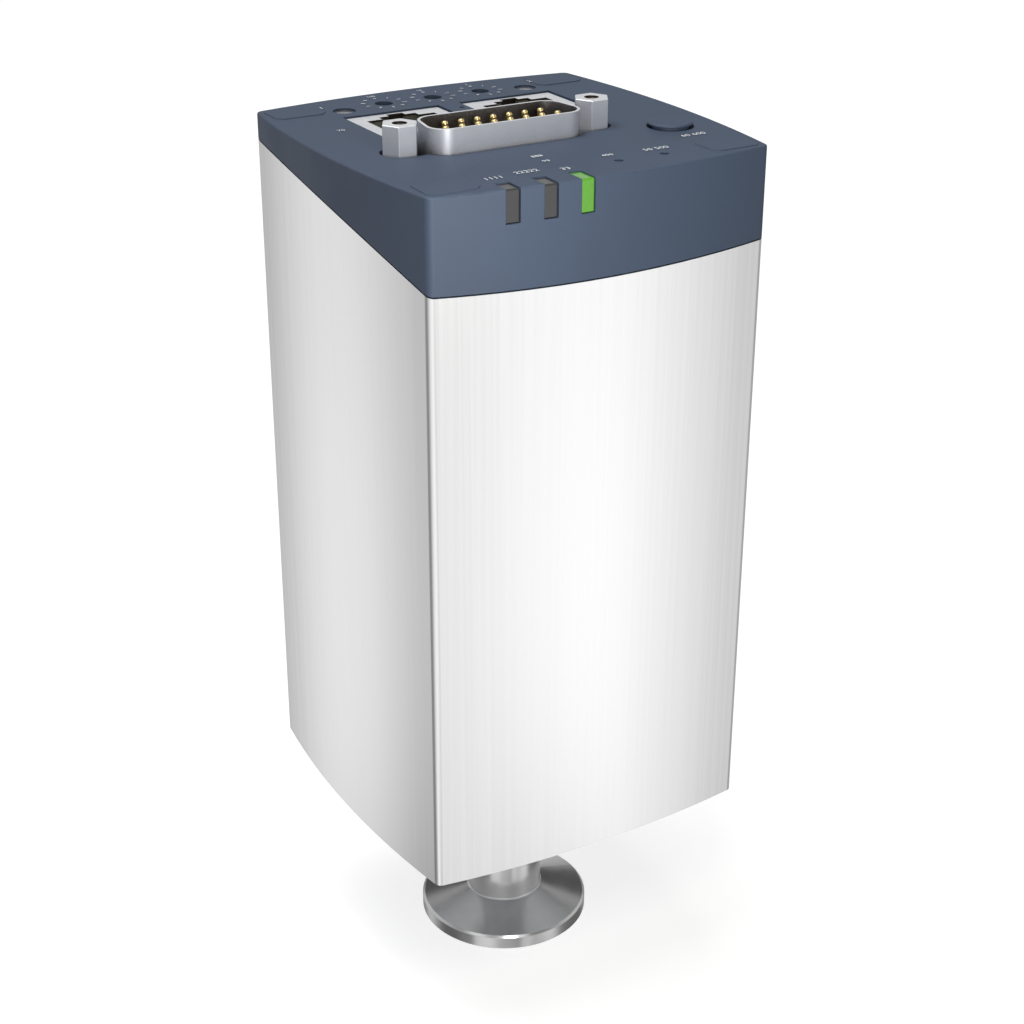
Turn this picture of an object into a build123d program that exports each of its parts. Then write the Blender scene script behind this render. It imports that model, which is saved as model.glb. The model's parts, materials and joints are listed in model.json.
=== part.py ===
from build123d import *
import math
import os

# Frame: origin at the centre of the vacuum flange's sealing face, +Z up the port,
# and the side with the three status lights facing -Y. All sizes are in millimetres.

# Housing seen from above: a square whose four sides swell outward
body_side = 58.0
side_bow = 2.3
corner_radius = 1.3
inner_corner_radius = 0.5

# Lower end of the sleeve above the sealing face
sleeve_bottom_z = 31.3

# Joint between sleeve and cap: a shallow cylinder lying across the housing
parting_radius = 202.0
parting_apex_y = 34.3
parting_apex_drop = 4.1
joint_gap = 0.2

# Brushed sleeve and the plate drawn up against its inner ledge
sleeve_wall = 1.2
ledge_width = 2.0
ledge_thickness = 1.2
plate_thickness = 2.0
plate_recess = 0.5
plate_fit = 0.15

# Moulded cap
cap_thickness = 2.0
lip_wall = 1.2
lip_fit = 0.15
lip_depth = 3.0
cap_edge_radius = 0.28
pad_length = 8.6
pad_width = 6.5
pad_margin = 0.7
pad_corner = 1.0
pad_height = 0.12

# Vacuum port: small flange with a 15 degree clamping cone on a plain tube
flange_radius = 15.0
rim_height = 2.7
rim_chamfer = 0.4
cone_angle = 15.0
recess_radius = 8.6
recess_depth = 2.6
tube_radius = 6.7
tube_wall = 1.5
root_radius = 0.3
collar_radius = 12.0
collar_thickness = 2.5
tube_fit = 0.3
baffle_thickness = 0.6
baffle_seat = 0.5
baffle_z = 8.0
baffle_slot_width = 1.6

# Screws that hold the port's collar to the plate
port_screw_circle = 9.2
port_screw_radius = 1.0
port_screw_head_radius = 1.9
port_screw_head_height = 1.2

# Tie screws through plate, spacers and boards into the cap
tie_inset = 6.5
tie_radius = 1.5
tie_head_radius = 2.8
tie_fit = 0.2
spacer_radius = 2.75
boss_radius = 3.2
insert_radius = 2.1
insert_length = 4.0

# Heated sensor enclosure
foam_wall = 2.55
foam_floor = 8.5
foam_lid = 6.0
foam_fit = 0.3
heater_base_thickness = 2.0
heater_boss_height = 2.0
can_gap = 0.3
can_wall = 1.5
can_headroom = 4.8
foil_thickness = 0.3
foil_margin = 4.0
film_gap = 0.05

# Ceramic cell
sensor_base_thickness = 4.0
socket_depth = 2.0
cell_radius = 18.5
cell_fit = 0.3
cell_floor = 5.0
cell_bore = 4.0
cell_cavity = 0.3
seal_width = 3.5
seal_thickness = 0.15
diaphragm_thickness = 0.4
backplate_thickness = 5.0
getter_radius = 4.0
getter_height = 4.5
getter_bore = 1.5
cage_wall = 1.4
cage_clearance = 6.0
cage_lip = 3.0
cage_lip_thickness = 1.0
contact_radius = 0.5
contact_circle = 10.0
flex_width = 8.0
flex_thickness = 0.3
flex_x = 13.0
flex_slot_fit = 0.5

# Amplifier on the sensor board
amplifier_x = -4.0
amplifier_side = 9.0
amplifier_height = 1.4

# Circuit boards
board_thickness = 1.6
board_clearance = 0.45
board_air_gap = 4.58
board_pitch = 20.0
panel_board_drop = 6.4
header_length = 20.0
header_width = 2.5
header_y = 24.0
panel_header_length = 9.0
panel_header_x = 12.0
panel_header_y = -20.0

# Larger parts on the power board and the main board
transformer_x = -12.0
transformer_y = -8.0
transformer_length = 14.0
transformer_width = 12.0
transformer_height = 9.0
capacitor_x = 8.0
capacitor_y = -14.0
capacitor_pitch = 9.0
capacitor_radius = 4.0
capacitor_height = 10.0
regulator_x = 10.0
regulator_y = 6.0
regulator_side = 10.0
regulator_height = 2.2
processor_y = 2.0
processor_side = 14.0
converter_x = -16.0
converter_y = -6.0
converter_side = 8.0
clock_x = 15.0
clock_y = -10.0
clock_length = 5.0
clock_width = 3.2
chip_height = 1.4

# D-shaped connector: fifteen pins, eight of them in the front row
d_centre_x = -4.2
d_centre_y = -5.3
d_width = 25.25
d_height = 8.36
d_slant = 10.0
d_corner = 2.6
d_shell_wall = 0.45
d_rim_rise = 3.7
d_flange_margin = 2.91
d_flange_width = 12.55
d_flange_corner = 1.5
d_flange_thickness = 0.5
d_flange_drop = 0.2
d_rear_depth = 4.3
d_insulator_depth = 5.8
d_insulator_fit = 0.1
d_gap = 0.7
pin_radius = 0.5
pin_pitch = 2.77
row_pitch = 2.84
front_row_pins = 8
pin_tip_drop = 0.3
close_fit = 0.03
pin_tail = 2.5
jack_screw_spacing = 33.32
jack_screw_flats = 5.0
jack_screw_chamfer = 0.1
jack_screw_rise = 4.4
jack_screw_hole = 1.15
jack_screw_hole_depth = 5.5
jack_screw_stud = 1.4
jack_screw_stud_length = 6.0
jack_screw_opening = 3.1
stud_fit = 0.1
d_spacer_radius = 2.5

# Two shielded network jacks, latch side to the back
jack_mid_x = 0.22
jack_pitch = 20.85
jack_width = 16.3
jack_depth = 13.5
jack_back_y = 18.0
jack_height = 16.3
jack_gap = 0.4
jack_recess = 0.22
shield_wall = 0.3
insert_fit = 0.1
plug_width = 12.0
plug_height = 6.8
latch_width = 6.5
latch_height = 1.3
notch_width = 2.9
notch_height = 1.1
socket_margin = 0.5
socket_wall_fit = 0.15
plug_depth = 11.5
wire_pitch = 1.02
wire_width = 0.45
wire_thickness = 0.25
wire_count = 8
wire_reach = 2.2
wire_rise = 5.2
wire_foot = 0.6

# Three rotary address switches
switch_mid_x = 0.2
switch_pitch = 8.95
switch_y = 23.8
switch_side = 6.6
switch_height = 3.4
switch_hole = 1.5
rotor_radius = 1.9
rotor_stem_radius = 1.35
rotor_drop = 1.0
rotor_seat = 0.6
rotor_fit = 0.08
rotor_rest = 0.15
rotor_slot_width = 0.6
rotor_slot_depth = 0.5

# Two round link windows
window_spread = 16.75
window_y = 22.35
window_radius = 1.85
window_fit = 0.1
window_drop = 0.3
window_flange = 0.6
window_flange_thickness = 0.7

# Three status light pipes wrapped over the top front edge
status_mid_x = -10.25
status_pitch = 6.0
pipe_slot_width = 2.3
pipe_slot_reach = 4.2
pipe_slot_drop = 5.1
pipe_fit = 0.1
pipe_foot_fit = 0.3
pipe_top_recess = 0.2
pipe_front_recess = 0.35
pipe_edge_radius = 0.35
pipe_foot_width = 4.0
pipe_foot_reach = 2.7
pipe_foot_height = 2.5
led_length = 1.6
led_width = 0.8
led_height = 0.7
led_gap = 0.2

# Two push buttons worked with a pin through the cap
button_x = 4.65
button_pitch = 8.0
button_y = -25.25
button_hole = 0.7
button_side = 4.4
button_height = 2.4
plunger_radius = 1.1
plunger_rise = 1.4
plunger_travel = 0.3
plunger_fit = 0.08
button_floor = 0.4

# Service jack under a mushroom-shaped plug
service_x = 22.9
service_y = -11.75
service_side = 6.4
service_hole = 3.7
service_top_gap = 0.4
service_bore = 1.75
service_bore_depth = 12.0
plug_head_radius = 3.5
plug_head_thickness = 0.4
plug_head_lift = 0.4
plug_neck_radius = 2.9
plug_stem_length = 8.0
plug_stem_fit = 0.1

# Small locating dimple between the two jacks
dimple_x = 0.95
dimple_y = 15.2
dimple_radius = 0.45
dimple_depth = 0.6

# Values worked out from the sizes above
ON_BASE = (Align.CENTER, Align.CENTER, Align.MIN)
half_side = body_side / 2
side_radius = (half_side**2 + side_bow**2) / (2 * side_bow)
side_centre = side_radius - half_side - side_bow
cap_wall = sleeve_wall + lip_fit + lip_wall
board_inset = cap_wall + board_clearance
tie_reach = half_side - tie_inset
tie_points = [(x, y) for x in (-tie_reach, tie_reach) for y in (-tie_reach, tie_reach)]

sensor_base_radius = cell_radius + cell_fit + cage_wall
can_radius = sensor_base_radius + can_gap + can_wall
foam_inner_radius = can_radius + foil_thickness + film_gap + foam_fit
foam_radius = foam_inner_radius + foam_wall

plate_bottom_z = sleeve_bottom_z + plate_recess
plate_top_z = plate_bottom_z + plate_thickness
heater_base_z = plate_top_z + foam_floor
heater_floor_z = heater_base_z + heater_base_thickness
sensor_base_z = heater_floor_z + heater_boss_height
cell_z = sensor_base_z + sensor_base_thickness
diaphragm_z = cell_z + cell_floor + seal_thickness
backplate_z = diaphragm_z + diaphragm_thickness + seal_thickness
backplate_top_z = backplate_z + backplate_thickness
sensor_board_z = backplate_top_z + cage_clearance
sensor_board_top = sensor_board_z + board_thickness
can_top_z = sensor_board_top + amplifier_height + can_headroom + can_wall
can_height = can_top_z - heater_floor_z

power_board_top = can_top_z + foam_lid + board_air_gap + board_thickness
main_board_top = power_board_top + board_pitch
connector_board_top = main_board_top + board_pitch
cap_top_z = connector_board_top + jack_height + jack_recess
cap_under_z = cap_top_z - cap_thickness
panel_board_top = cap_top_z - panel_board_drop

d_flange_top_z = cap_under_z - d_flange_drop
d_flange_mid_z = d_flange_top_z - d_flange_thickness
d_flange_bottom_z = d_flange_mid_z - d_flange_thickness
d_rim_z = cap_top_z + d_rim_rise
d_flange_length = jack_screw_spacing + 2 * d_flange_margin
d_screw_x = [d_centre_x + side * jack_screw_spacing / 2 for side in (-1, 1)]
jack_x = [jack_mid_x + side * jack_pitch / 2 for side in (-1, 1)]
switch_x = [switch_mid_x + step * switch_pitch for step in (-1, 0, 1)]
window_x = [switch_mid_x + side * window_spread for side in (-1, 1)]
status_x = [status_mid_x + step * status_pitch for step in (-1, 0, 1)]
front_y = -(half_side + side_bow)
pipe_slot_back = front_y + pipe_slot_reach
pipe_foot_back = pipe_slot_back + pipe_foot_reach
button_points = [(button_x + step * button_pitch, button_y) for step in (0, 1)]


def rod(x, y, z, radius, height):
    """Upright cylinder standing on z."""
    return Pos(x, y, z) * Cylinder(radius, height, align=ON_BASE)


def block(x, y, z, length, width, height):
    """Upright box standing on z."""
    return Pos(x, y, z) * Box(length, width, height, align=ON_BASE)


def ring(z, outer, inner, height):
    """Round ring on the gauge's axis, standing on z."""
    return rod(0, 0, z, outer, height) - rod(0, 0, z, inner, height)


def turned(points):
    """Solid of revolution about Z from a closed (radius, height) outline."""
    outline = Plane.XZ * make_face(Polyline(*points, close=True))
    return revolve(outline, Axis.Z)


def body_plan(inset=0.0):
    """The housing's bowed square, moved inward by inset."""
    disc = Circle(side_radius - inset)
    plan = (Pos(side_centre, 0) * disc) & (Pos(-side_centre, 0) * disc)
    plan = plan & (Pos(0, side_centre) * disc) & (Pos(0, -side_centre) * disc)
    return fillet(plan.vertices(), max(corner_radius - inset, inner_corner_radius))


def prism(plan, z, height):
    """Upright solid of a plan, standing on z."""
    return extrude(Pos(0, 0, z) * plan, height)


def parting_cylinder(raise_by=0.0):
    """Everything below the joint between sleeve and cap."""
    centre_z = cap_top_z - parting_apex_drop - parting_radius
    lying = Rot(0, 90, 0) * Cylinder(parting_radius + raise_by, 2 * body_side)
    return Pos(0, parting_apex_y, centre_z) * lying


def d_plan(grow=0.0):
    """The connector's D outline, wide side to the front, moved outward by grow."""
    slant = math.radians(d_slant)
    half_front = d_width / 2 + d_corner * ((1 + math.sin(slant)) / math.cos(slant) - 1)
    half_back = half_front - d_height * math.tan(slant)
    outline = Polyline(
        (-half_front, -d_height / 2),
        (half_front, -d_height / 2),
        (half_back, d_height / 2),
        (-half_back, d_height / 2),
        close=True,
    )
    face = fillet(make_face(outline).vertices(), d_corner)
    if grow:
        face = offset(face, amount=grow)
    return Pos(d_centre_x, d_centre_y) * face


def housing_sleeve():
    """Bowed square tube with a ledge inside its lower end."""
    height = cap_top_z - sleeve_bottom_z
    tube = prism(body_plan() - body_plan(sleeve_wall), sleeve_bottom_z, height)
    ledge_plan = body_plan(sleeve_wall) - body_plan(sleeve_wall + ledge_width)
    ledge = prism(ledge_plan, plate_top_z, ledge_thickness)
    return (tube + ledge) & parting_cylinder(-joint_gap)


def base_plate():
    """Plate that closes the sleeve, with the port hole and sunk screw holes."""
    plate = prism(body_plan(sleeve_wall + plate_fit), plate_bottom_z, plate_thickness)
    plate -= rod(0, 0, plate_bottom_z, tube_radius + tube_fit, plate_thickness)
    for x, y in tie_points:
        plate -= tie_screw_shape(x, y, tie_fit)
    for x, y in port_screw_points():
        plate -= rod(x, y, plate_bottom_z, port_screw_radius + tie_fit, plate_thickness)
    return plate


def tie_screw_shape(x, y, grow=0.0):
    """One long countersunk screw from the plate up into the cap."""
    head_height = tie_head_radius - tie_radius
    top_z = panel_board_top + insert_length
    head = Pos(x, y, plate_bottom_z) * Cone(
        tie_head_radius + grow, tie_radius + grow, head_height, align=ON_BASE
    )
    return head + rod(x, y, plate_bottom_z, tie_radius + grow, top_z - plate_bottom_z)


def tie_screws():
    """The four tie screws, each with a cross recess in its head."""
    screws = Part()
    for x, y in tie_points:
        screw = tie_screw_shape(x, y)
        for turn in (0, 90):
            arm = Box(2 * tie_radius, tie_radius / 3, tie_radius / 2, align=ON_BASE)
            screw -= Pos(x, y, plate_bottom_z) * Rot(0, 0, turn) * arm
        screws += screw
    return screws


def spacer_set(bottom_z, top_z):
    """Four spacer tubes round the tie screws."""
    tubes = Part()
    for x, y in tie_points:
        tube = rod(x, y, bottom_z, spacer_radius, top_z - bottom_z)
        tubes += tube - rod(x, y, bottom_z, tie_radius + tie_fit, top_z - bottom_z)
    return tubes


def cap_inserts():
    """Threaded inserts in the cap's four bosses."""
    inserts = Part()
    for x, y in tie_points:
        insert = rod(x, y, panel_board_top, insert_radius, insert_length)
        inserts += insert - rod(x, y, panel_board_top, tie_radius + close_fit, insert_length)
    return inserts


def corner_pad(x_side, y_side):
    """Low raised pad at one corner of the cap's top, its corners cut off."""
    x = x_side * (half_side - pad_margin - pad_length / 2)
    y = y_side * (half_side - pad_margin - pad_width / 2)
    plan = chamfer(Rectangle(pad_length, pad_width).vertices(), pad_corner)
    return prism(Pos(x, y) * plan, cap_top_z, pad_height)


def cap_openings():
    """Everything cut through the cap's top and over its front edge."""
    z = cap_under_z
    deep = cap_thickness + pad_height + 1
    cuts = prism(d_plan(d_shell_wall + d_gap), z, deep)
    screw_slot = SlotCenterToCenter(jack_screw_spacing, 2 * jack_screw_opening)
    cuts += prism(Pos(d_centre_x, d_centre_y) * screw_slot, z, deep)
    jack_y = jack_back_y - jack_depth / 2
    for x in jack_x:
        cuts += block(x, jack_y, z, jack_width + 2 * jack_gap, jack_depth + 2 * jack_gap, deep)
    for x in switch_x:
        cuts += rod(x, switch_y, z, switch_hole, deep)
    for x in window_x:
        cuts += rod(x, window_y, z, window_radius, deep)
    for x, y in button_points:
        cuts += rod(x, y, z, button_hole, deep)
    cuts += rod(service_x, service_y, z, service_hole, deep)
    cuts += rod(dimple_x, dimple_y, cap_top_z - dimple_depth, dimple_radius, deep)
    slot_z = cap_top_z - pipe_slot_drop
    slot_length = pipe_slot_reach + 1
    slot_y = pipe_slot_back - slot_length / 2
    for x in status_x:
        cuts += block(x, slot_y, slot_z, pipe_slot_width, slot_length, deep + pipe_slot_drop)
    return cuts


def top_cap():
    """Moulded cap: bowed skirt with a curved lower edge and a lip inside the sleeve."""
    low_z = cap_top_z - body_side
    height = cap_top_z - low_z
    outer = prism(body_plan(), low_z, height)
    outer = fillet(outer.faces().sort_by(Axis.Z)[-1].edges(), cap_edge_radius)
    cavity = prism(body_plan(cap_wall), low_z, height - cap_thickness)
    skirt = outer - cavity - parting_cylinder()
    lip_plan = body_plan(sleeve_wall + lip_fit) - body_plan(cap_wall)
    lip = prism(lip_plan, low_z, height - cap_thickness / 2) - parting_cylinder(-lip_depth)
    cap = skirt + lip
    for x_side in (-1, 1):
        for y_side in (-1, 1):
            cap += corner_pad(x_side, y_side)
    for x, y in tie_points:
        cap += rod(x, y, panel_board_top, boss_radius, cap_under_z - panel_board_top)
    for x, y in tie_points:
        cap -= rod(x, y, panel_board_top, insert_radius, insert_length)
    return cap - cap_openings()


def vacuum_port():
    """Turned port: sealing recess, clamping cone, tube and the collar that carries it."""
    cone_width = flange_radius - rim_chamfer - tube_radius
    cone_top = rim_height + cone_width * math.tan(math.radians(cone_angle))
    bore = tube_radius - tube_wall
    wide_bore = bore + baffle_seat
    top_z = sensor_base_z + socket_depth
    body = turned([
        (recess_radius, 0),
        (flange_radius - rim_chamfer / 2, 0),
        (flange_radius, rim_chamfer / 2),
        (flange_radius, rim_height - rim_chamfer),
        (flange_radius - rim_chamfer, rim_height),
        (tube_radius, cone_top),
        (tube_radius, plate_top_z),
        (collar_radius, plate_top_z),
        (collar_radius, plate_top_z + collar_thickness),
        (tube_radius, plate_top_z + collar_thickness),
        (tube_radius, top_z),
        (bore, top_z),
        (bore, baffle_z),
        (wide_bore, baffle_z),
        (wide_bore, recess_depth),
        (recess_radius, recess_depth),
    ])
    root = body.edges().filter_by(GeomType.CIRCLE).filter_by(
        lambda edge: abs(edge.center().Z - cone_top) < 0.01 and abs(edge.radius - tube_radius) < 0.01
    )
    body = fillet(root, root_radius)
    for x, y in port_screw_points():
        body -= rod(x, y, plate_top_z, port_screw_radius, collar_thickness)
    return body


def port_baffle():
    """Slotted disc that keeps line of sight from the process to the cell."""
    radius = tube_radius - tube_wall + baffle_seat - close_fit
    disc = rod(0, 0, baffle_z - baffle_thickness, radius, baffle_thickness)
    slot_length = radius * 0.5
    for turn in range(0, 360, 60):
        slot = Pos(radius * 0.62, 0) * SlotOverall(slot_length, baffle_slot_width)
        disc -= prism(Rot(0, 0, turn) * slot, baffle_z - baffle_thickness, baffle_thickness)
    return disc


def port_screw_points():
    """Three screws round the port."""
    turns = [math.radians(30 + 120 * step) for step in range(3)]
    return [(port_screw_circle * math.cos(t), port_screw_circle * math.sin(t)) for t in turns]


def port_screws():
    """Pan-head screws that hold the plate to the port's collar."""
    screws = Part()
    head_z = plate_bottom_z - port_screw_head_height
    shaft_length = plate_thickness + collar_thickness
    slot_depth = port_screw_head_height / 2
    for x, y in port_screw_points():
        head = rod(x, y, head_z, port_screw_head_radius, port_screw_head_height)
        head -= block(x, y, head_z, 1.4 * port_screw_head_radius, slot_depth, slot_depth)
        screws += head + rod(x, y, plate_bottom_z, port_screw_radius - close_fit, shaft_length)
    return screws


def insulation_base():
    """Foam disc under the heated enclosure, hollowed over the collar."""
    disc = ring(plate_top_z, foam_radius, tube_radius + tube_fit, foam_floor)
    return disc - rod(0, 0, plate_top_z, collar_radius + foam_fit, collar_thickness + foam_fit)


def insulation_ring():
    """Foam wall round the heated enclosure."""
    return ring(heater_base_z, foam_radius, foam_inner_radius, can_top_z - heater_base_z)


def insulation_lid():
    """Foam disc over the heated enclosure, slit for the flat cable."""
    lid = rod(0, 0, can_top_z, foam_radius, foam_lid)
    return lid - flex_slot(can_top_z, foam_lid)


def flex_slot(z, height):
    """Room for the flat cable to pass through a wall."""
    return block(flex_x, 0, z, flex_thickness + 2 * flex_slot_fit, flex_width + 2 * flex_slot_fit, height)


def heater_base():
    """Aluminium floor of the heated enclosure with the ring that carries the cell."""
    plate = rod(0, 0, heater_base_z, can_radius, heater_base_thickness)
    plate += rod(0, 0, heater_floor_z, sensor_base_radius - cage_lip, heater_boss_height)
    bore_height = heater_base_thickness + heater_boss_height
    return plate - rod(0, 0, heater_base_z, tube_radius + tube_fit, bore_height)


def heater_can():
    """Drawn aluminium can over the cell, slit for the flat cable."""
    can = rod(0, 0, heater_floor_z, can_radius, can_height)
    can -= rod(0, 0, heater_floor_z, can_radius - can_wall, can_height - can_wall)
    return can - flex_slot(can_top_z - can_wall, can_wall)


def heater_foil():
    """Heating foil wrapped round the can."""
    inner = can_radius + film_gap
    return ring(heater_floor_z + foil_margin, inner + foil_thickness, inner, can_height - 2 * foil_margin)


def sensor_base():
    """Steel disc that the port tube is welded into."""
    disc = rod(0, 0, sensor_base_z, sensor_base_radius, sensor_base_thickness)
    disc -= rod(0, 0, sensor_base_z, tube_radius, socket_depth)
    return disc - rod(0, 0, sensor_base_z, cell_bore, sensor_base_thickness)


def ceramic_housing():
    """Thick ceramic disc with the pressure inlet and a shallow cavity."""
    disc = rod(0, 0, cell_z, cell_radius, cell_floor)
    disc -= rod(0, 0, cell_z, cell_bore, cell_floor)
    cavity_z = cell_z + cell_floor - cell_cavity
    return disc - rod(0, 0, cavity_z, cell_radius - seal_width, cell_cavity)


def ceramic_diaphragm():
    """The thin ceramic disc that the gas pressure bends."""
    return rod(0, 0, diaphragm_z, cell_radius, diaphragm_thickness)


def glass_seals():
    """Glass rings that hold the diaphragm between the two ceramic discs."""
    lower = ring(cell_z + cell_floor, cell_radius, cell_radius - seal_width, seal_thickness)
    upper = ring(diaphragm_z + diaphragm_thickness, cell_radius, cell_radius - seal_width, seal_thickness)
    return lower + upper


def ceramic_backplate():
    """Ceramic disc that carries the electrodes and the reference vacuum's hole."""
    disc = rod(0, 0, backplate_z, cell_radius, backplate_thickness)
    disc -= rod(0, 0, backplate_z, getter_bore, backplate_thickness)
    return disc


def getter():
    """Sealed getter capsule on the reference side."""
    body = rod(0, 0, backplate_top_z, getter_radius, getter_height)
    return fillet(body.faces().sort_by(Axis.Z)[-1].edges(), getter_radius / 4)


def sensor_cage():
    """Ring that clamps the ceramic cell on its base and carries the sensor board."""
    inner = cell_radius + cell_fit
    cage = ring(cell_z, sensor_base_radius, inner, sensor_board_z - cell_z)
    return cage + ring(backplate_top_z, sensor_base_radius - cell_fit, inner - cage_lip, cage_lip_thickness)


def sensor_contacts():
    """Three contact pins from the electrodes to the sensor board."""
    pins = Part()
    for step in range(3):
        turn = math.radians(60 + 120 * step)
        x, y = contact_circle * math.cos(turn), contact_circle * math.sin(turn)
        pins += rod(x, y, backplate_top_z, contact_radius, sensor_board_z - backplate_top_z)
    return pins


def sensor_board():
    """Round board above the cell with its amplifier."""
    board = rod(0, 0, sensor_board_z, sensor_base_radius, board_thickness)
    return board + block(amplifier_x, 0, sensor_board_top, amplifier_side, amplifier_side, amplifier_height)


def sensor_flex():
    """Flat cable from the sensor board up to the power board."""
    height = power_board_top - board_thickness - sensor_board_top
    return block(flex_x, 0, sensor_board_top, flex_thickness, flex_width, height)


def board(top_z):
    """Square board with its four tie-screw holes."""
    z = top_z - board_thickness
    plate = prism(body_plan(board_inset), z, board_thickness)
    for x, y in tie_points:
        plate -= rod(x, y, z, tie_radius + tie_fit, board_thickness)
    return plate


def d_pin_points():
    """Pin places of both rows, front row first."""
    points = []
    for count, row in ((front_row_pins, -1), (front_row_pins - 1, 1)):
        for step in range(count):
            x = d_centre_x + (step - (count - 1) / 2) * pin_pitch
            points.append((x, d_centre_y + row * row_pitch / 2))
    return points


def connector_board():
    """Board that carries the connectors, drilled for the D connector's tails."""
    plate = board(connector_board_top)
    for x, y in d_pin_points():
        plate -= rod(x, y, connector_board_top - board_thickness, pin_radius + close_fit, board_thickness)
    return plate


def panel_board():
    """Board just under the cap, cut out round the tall connectors."""
    z = panel_board_top - board_thickness
    plate = board(panel_board_top)
    margin = jack_gap + board_clearance / 2
    flange_room = (d_flange_length + 2 * margin, d_flange_width + 2 * margin)
    plate -= block(d_centre_x, d_centre_y, z, *flange_room, board_thickness)
    jack_y = jack_back_y - jack_depth / 2
    for x in jack_x:
        plate -= block(x, jack_y, z, jack_width + 2 * margin, jack_depth + 2 * margin, board_thickness)
    service_room = service_side + 2 * margin
    plate -= block(service_x, service_y, z, service_room, service_room, board_thickness)
    return plate


def power_parts():
    """Transformer, two capacitors and a regulator on the power board."""
    z = power_board_top
    parts = block(
        transformer_x, transformer_y, z, transformer_length, transformer_width, transformer_height
    )
    for x in (capacitor_x, capacitor_x + capacitor_pitch):
        parts += rod(x, capacitor_y, z, capacitor_radius, capacitor_height)
    return parts + block(regulator_x, regulator_y, z, regulator_side, regulator_side, regulator_height)


def main_parts():
    """Processor, converter and clock on the main board."""
    z = main_board_top
    parts = block(0, processor_y, z, processor_side, processor_side, chip_height)
    parts += block(converter_x, converter_y, z, converter_side, converter_side, chip_height)
    return parts + block(clock_x, clock_y, z, clock_length, clock_width, chip_height)


def board_headers():
    """Pin headers that link the boards to each other."""
    headers = Part()
    for low in (power_board_top, main_board_top):
        height = board_pitch - board_thickness
        headers += block(0, header_y, low, header_length, header_width, height)
    z = connector_board_top
    height = panel_board_top - board_thickness - z
    headers += block(panel_header_x, panel_header_y, z, panel_header_length, header_width, height)
    return headers


def d_flange(z):
    """One shell's flange plate with its two screw holes."""
    plan = fillet(Rectangle(d_flange_length, d_flange_width).vertices(), d_flange_corner)
    plate = prism(Pos(d_centre_x, d_centre_y) * plan, z, d_flange_thickness)
    for x in d_screw_x:
        plate -= rod(x, d_centre_y, z, jack_screw_stud + stud_fit, d_flange_thickness)
    return plate


def d_sub_front_shell():
    """Drawn front shell: flange and the D-shaped collar round the pins."""
    shell = d_flange(d_flange_mid_z)
    shell += prism(d_plan(d_shell_wall), d_flange_mid_z, d_rim_z - d_flange_mid_z)
    return shell - prism(d_plan(), d_flange_mid_z, d_rim_z - d_flange_mid_z)


def d_sub_rear_shell():
    """Drawn rear shell behind the flange."""
    shell = d_flange(d_flange_bottom_z)
    rear_z = d_flange_bottom_z - d_rear_depth
    height = d_flange_mid_z - rear_z
    shell += prism(d_plan(d_shell_wall), rear_z, height)
    return shell - prism(d_plan(), rear_z, height)


def d_sub_insulator():
    """Moulded block that holds the fifteen pins."""
    z = d_flange_top_z - d_insulator_depth
    body = prism(d_plan(-d_insulator_fit), z, d_insulator_depth)
    for x, y in d_pin_points():
        body -= rod(x, y, z, pin_radius + close_fit, d_insulator_depth)
    return body


def d_sub_pins():
    """Round pins with domed tips above the insulator and tails through the board."""
    low_z = connector_board_top - pin_tail
    top_z = d_rim_z - pin_tip_drop
    pins = Part()
    for x, y in d_pin_points():
        pin = rod(x, y, low_z, pin_radius, top_z - low_z)
        pins += fillet(pin.faces().sort_by(Axis.Z)[-1].edges(), pin_radius * 0.8)
    return pins


def d_sub_spacers():
    """Two spacers between the connector board and the D connector's flange."""
    height = d_flange_bottom_z - connector_board_top
    tubes = Part()
    for x in d_screw_x:
        tube = rod(x, d_centre_y, connector_board_top, d_spacer_radius, height)
        tubes += tube - rod(x, d_centre_y, connector_board_top, jack_screw_stud + close_fit, height)
    return tubes


def jack_screws():
    """Hexagonal jack screws with a threaded hole in the top."""
    top_z = cap_top_z + jack_screw_rise
    height = top_z - d_flange_top_z
    screws = Part()
    for x in d_screw_x:
        hexagon = RegularPolygon(jack_screw_flats / 2, 6, major_radius=False)
        body = prism(Pos(x, d_centre_y) * hexagon, d_flange_top_z, height)
        body = chamfer(body.faces().sort_by(Axis.Z)[-1].edges(), jack_screw_chamfer)
        body -= rod(x, d_centre_y, top_z - jack_screw_hole_depth, jack_screw_hole, jack_screw_hole_depth)
        stud_z = d_flange_top_z - jack_screw_stud_length
        screws += body + rod(x, d_centre_y, stud_z, jack_screw_stud, jack_screw_stud_length)
    return screws


def socket_plan(grow=0.0):
    """Stepped outline that a network plug and its latch go into, its back edge at y = 0."""
    notch = Pos(0, -notch_height / 2) * Rectangle(notch_width + 2 * grow, notch_height + 2 * grow)
    latch_y = -notch_height - latch_height / 2
    latch = Pos(0, latch_y) * Rectangle(latch_width + 2 * grow, latch_height + 2 * grow)
    plug_y = -notch_height - latch_height - plug_height / 2
    plug = Pos(0, plug_y) * Rectangle(plug_width + 2 * grow, plug_height + 2 * grow)
    return Pos(0, jack_back_y - socket_margin) * (notch + latch + plug)


def jack_shield(x):
    """Folded metal shield of a network jack, open below."""
    y = jack_back_y - jack_depth / 2
    shell = block(x, y, connector_board_top, jack_width, jack_depth, jack_height)
    inner_width = jack_width - 2 * shield_wall
    inner_depth = jack_depth - 2 * shield_wall
    shell -= block(x, y, connector_board_top, inner_width, inner_depth, jack_height - shield_wall)
    return shell - prism(Pos(x, 0) * socket_plan(), connector_board_top, jack_height)


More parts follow.
